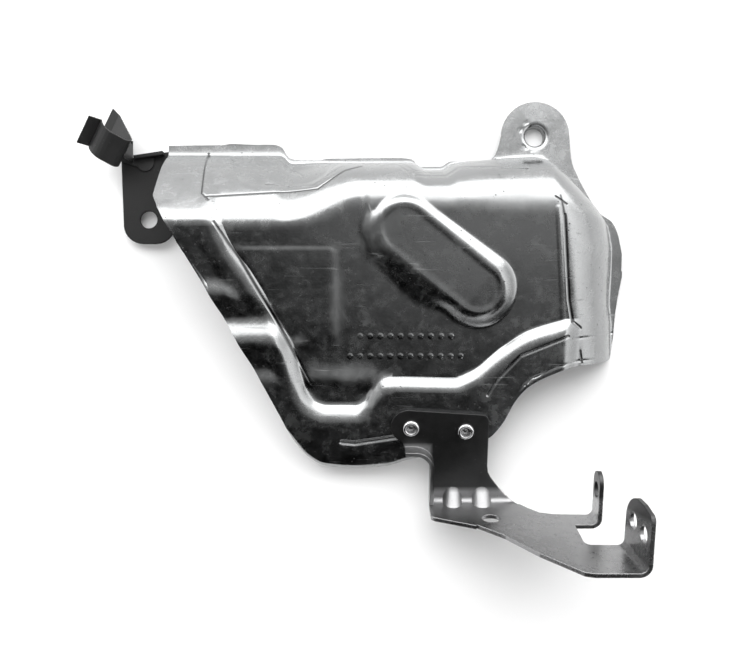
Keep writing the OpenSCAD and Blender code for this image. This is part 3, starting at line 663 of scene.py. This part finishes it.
# Floor, light and camera, in metres from the middle of the view.
middle = (-lugAt[0] * mm, -lugAt[1] * mm)
studio = {
    "cameraHigh": 0.370, "lens": 42.17, "sensor": 36.0, "fill": 0.12,
    "floorWide": 12, "floorAt": (-0.06, -0.08), "floorBelow": 0.0002, "floorTone": 0.9, "floorGlow": 0.02,
}
lights = {  # a light with corners is a board: low left, low right, high left, high right
    "skyPanel": {"place": (0.0, 0.8, 0.66), "aim": (0.0, 0.1, 0.3), "size": (3.4, 1.3), "radiance": 2.6},
    "skyCard": {"corners": [(-1.9, 1.1, 0.08), (1.9, 1.1, 0.08), (-1.9, 0.5, 1.24), (1.9, 0.5, 1.24)],
                "tones": (4.6, 4.6)},
    "leftCard": {"corners": [(-1.2, 0.1, 0.05), (-1.9, 1.1, 0.05), (-1.2, 0.1, 0.8), (-1.9, 1.1, 0.8)],
                 "tones": (3.0, 3.0)},
    "topPanel": {"place": (0.0, 0.55, 1.0), "aim": (0.0, 0.0, 0.0), "size": (1.4, 0.8), "radiance": 2.2},
    "frontPanel": {"place": (-0.4, -0.8, 0.9), "aim": (0.0, 0.0, 0.0), "size": (1.6, 1.2), "radiance": 1.4},
    "overheadCard": {"corners": [(-1.3, -0.55, 1.3), (1.3, -0.55, 1.3), (-1.3, 0.5, 1.3), (1.3, 0.5, 1.3)],
                     "tones": (0.3, 1.2), "bow": 1.2, "leftShare": 0.6},
    "darkCard": {"corners": [(-1.3, -0.6, 0.0), (1.3, -0.6, 0.0), (-1.3, -0.55, 1.3), (1.3, -0.55, 1.3)],
                 "tones": (0.006, 1.1), "bow": 6.5, "leftShare": 0.13},
    "sideCard": {"corners": [(1.0, -0.6, 0.0), (1.0, 0.5, 0.0), (1.0, -0.6, 1.3), (1.0, 0.5, 1.3)],
                 "tones": (1.4, 3.2)},
}


# 1 for what the camera sees by itself, in a mirror or through glass, and 0 for soft light.
def rayShare(tree):
    path = tree.nodes.new("ShaderNodeLightPath")
    camera, glossy, glass = (Wire(tree, path.outputs[k]) for k in
                             ("Is Camera Ray", "Is Glossy Ray", "Is Transmission Ray"))
    return (camera + glossy + glass).least(1.0)


def whiteWorld():
    world = bpy.data.worlds.new("studioWorld")
    bpy.context.scene.world = world
    world.use_nodes = True
    tree = world.node_tree
    back = tree.nodes["Background"]
    back.inputs["Color"].default_value = (1, 1, 1, 1)
    tree.links.new((studio["fill"] + (1.0 - studio["fill"]) * rayShare(tree)).socket, back.inputs["Strength"])


def paleFloor():
    bpy.ops.mesh.primitive_plane_add(size=studio["floorWide"],
                                     location=(*studio["floorAt"], cadBox[0][2] - studio["floorBelow"]))
    floor = bpy.context.object
    floor.name = "floor"
    look = bpy.data.materials.new("paleFloor")
    look.use_nodes = True
    tree = look.node_tree
    shader = tree.nodes["Principled BSDF"]
    tone = studio["floorTone"]
    shader.inputs["Base Color"].default_value = (tone, tone, tone, 1)
    shader.inputs["Roughness"].default_value = 0.9
    shader.inputs["Specular IOR Level"].default_value = 0.0
    shader.inputs["Emission Color"].default_value = (1, 1, 1, 1)
    tree.links.new((rayShare(tree) * studio["floorGlow"]).socket, shader.inputs["Emission Strength"])
    floor.data.materials.append(look)


# A board that only mirrors show, with tones from its low to its high edge and a dimmer left half.
def card(name, corners, tones, bow=1.0, leftShare=1.0):
    bpy.ops.mesh.primitive_plane_add(size=1)
    board = bpy.context.object
    board.name = name
    for vertex, spot in zip(board.data.vertices, corners):
        vertex.co = Vector(spot) + Vector((middle[0], middle[1], 0))
    look = bpy.data.materials.new(name)
    look.use_nodes = True
    tree = look.node_tree
    tree.nodes.clear()
    glow = tree.nodes.new("ShaderNodeEmission")
    spot = tree.nodes.new("ShaderNodeTexCoord")
    split = tree.nodes.new("ShaderNodeSeparateXYZ")
    tree.links.new(spot.outputs["UV"], split.inputs[0])
    across, up = Wire(tree, split.outputs[0]), Wire(tree, split.outputs[1])
    tone = up ** bow * (tones[1] - tones[0]) + tones[0]
    share = across.above(0.48, 0.06) * (1 - leftShare) + leftShare
    tree.links.new((tone * share).socket, glow.inputs["Strength"])
    out = tree.nodes.new("ShaderNodeOutputMaterial")
    tree.links.new(glow.outputs[0], out.inputs[0])
    board.data.materials.append(look)
    board.visible_camera = board.visible_diffuse = board.visible_shadow = False


# A lamp that lights, and that no mirror shows.
def softLamp(name, place, aim, size, radiance):
    data = bpy.data.lights.new(name, "AREA")
    data.shape, data.size, data.size_y = "RECTANGLE", size[0], size[1]
    data.energy = radiance * math.pi * size[0] * size[1]
    lamp = bpy.data.objects.new(name, data)
    bpy.context.collection.objects.link(lamp)
    place = (middle[0] + place[0], middle[1] + place[1], place[2])
    aim = (middle[0] + aim[0], middle[1] + aim[1], aim[2])
    lamp.location = place
    lamp.rotation_euler = (Vector(aim) - Vector(place)).to_track_quat("-Z", "Y").to_euler()
    lamp.visible_camera = lamp.visible_glossy = False


def viewCamera():
    data = bpy.data.cameras.new("camera")
    data.lens, data.sensor_width = studio["lens"], studio["sensor"]
    data.clip_start = 0.01
    camera = bpy.data.objects.new("camera", data)
    bpy.context.collection.objects.link(camera)
    camera.location = (*middle, studio["cameraHigh"])
    bpy.context.scene.camera = camera


whiteWorld()
paleFloor()
for lightName, light in lights.items():
    (card if "corners" in light else softLamp)(lightName, **light)
viewCamera()
bpy.context.scene.view_settings.view_transform = "Standard"
print("stage set")
